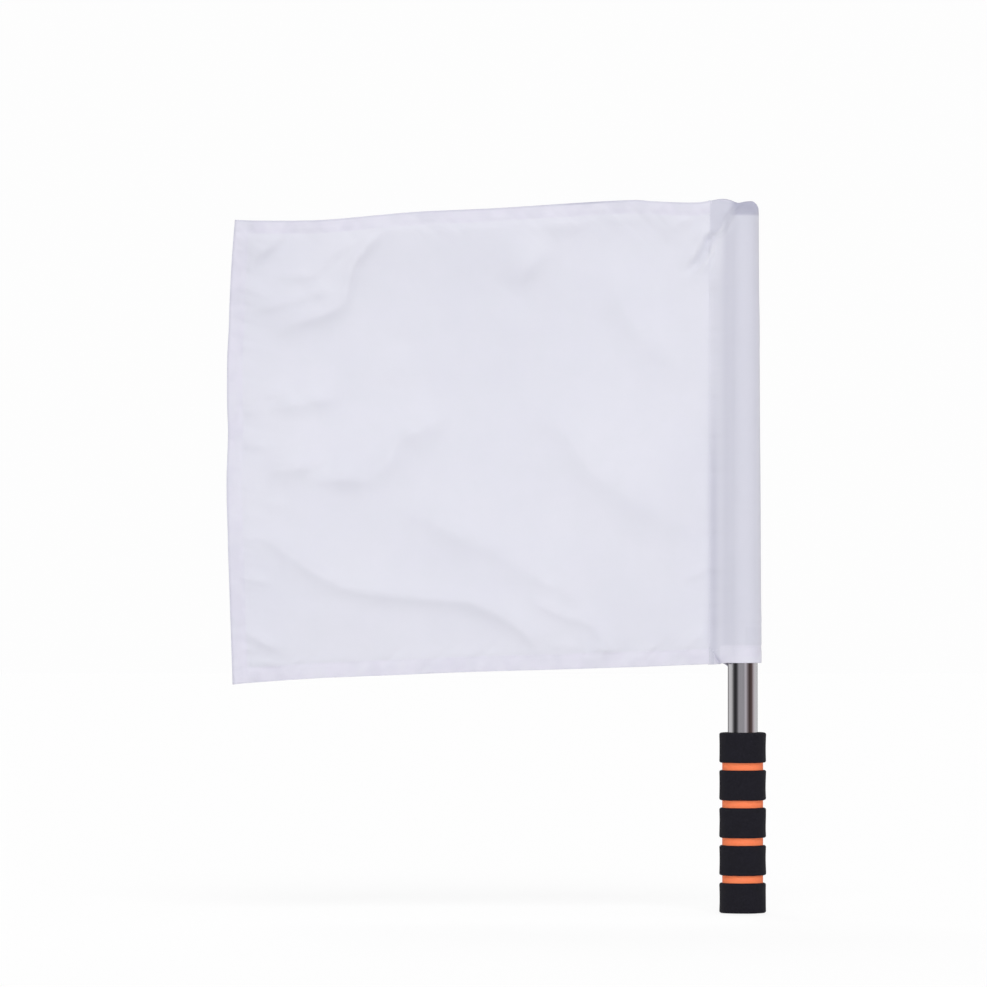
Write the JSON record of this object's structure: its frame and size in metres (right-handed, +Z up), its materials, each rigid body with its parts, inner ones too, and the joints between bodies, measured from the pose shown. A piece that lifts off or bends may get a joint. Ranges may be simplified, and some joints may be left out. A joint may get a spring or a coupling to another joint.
{
  "type": "linesman flag",
  "caption": "Hand-held linesman flag: a hemmed white cloth panel whose sewn pocket turns on a steel tube with a ringed black and orange foam grip.",
  "frame": {"origin": "centre of the flat butt end of the pole, on the tube's axis", "axes": "+Z up along the tube towards the cloth, the cloth reaches out along -X, and its front looks along -Y"},
  "size_m": [0.3537, 0.0308, 0.4676],
  "materials": {
    "steel_tube": "polished stainless tube with fine drawing lines",
    "plug_plastic": "moulded polyethylene",
    "orange_foam": "closed-cell foam, fine open pores on the cut skin",
    "black_foam": "closed-cell foam, matt with fine pores",
    "polyester": "plain-woven white polyester with a faint sheen, hemmed and stitched"
  },
  "bodies": {
    "pole": {"pole_tube": "steel_tube", "butt_plug": "plug_plastic", "tip_plug": "plug_plastic", "grip_core": "orange_foam", "grip_ring_1": "black_foam", "grip_ring_2": "black_foam", "grip_ring_3": "black_foam", "grip_ring_4": "black_foam", "grip_ring_5": "black_foam"},
    "flag": {"pole_sleeve": "polyester", "sleeve_bottom_hem": "polyester", "mouth_patch": "polyester", "flag_panel": "polyester", "top_hem": "polyester", "bottom_hem": "polyester", "fly_hem": "polyester"}
  },
  "joints": [
    {"name": "flag_turn", "type": "hinge", "parent": "pole", "child": "flag", "pos_m": [0, 0, 0.31], "axis": [0, 0, 1], "continuous": true}
  ]
}
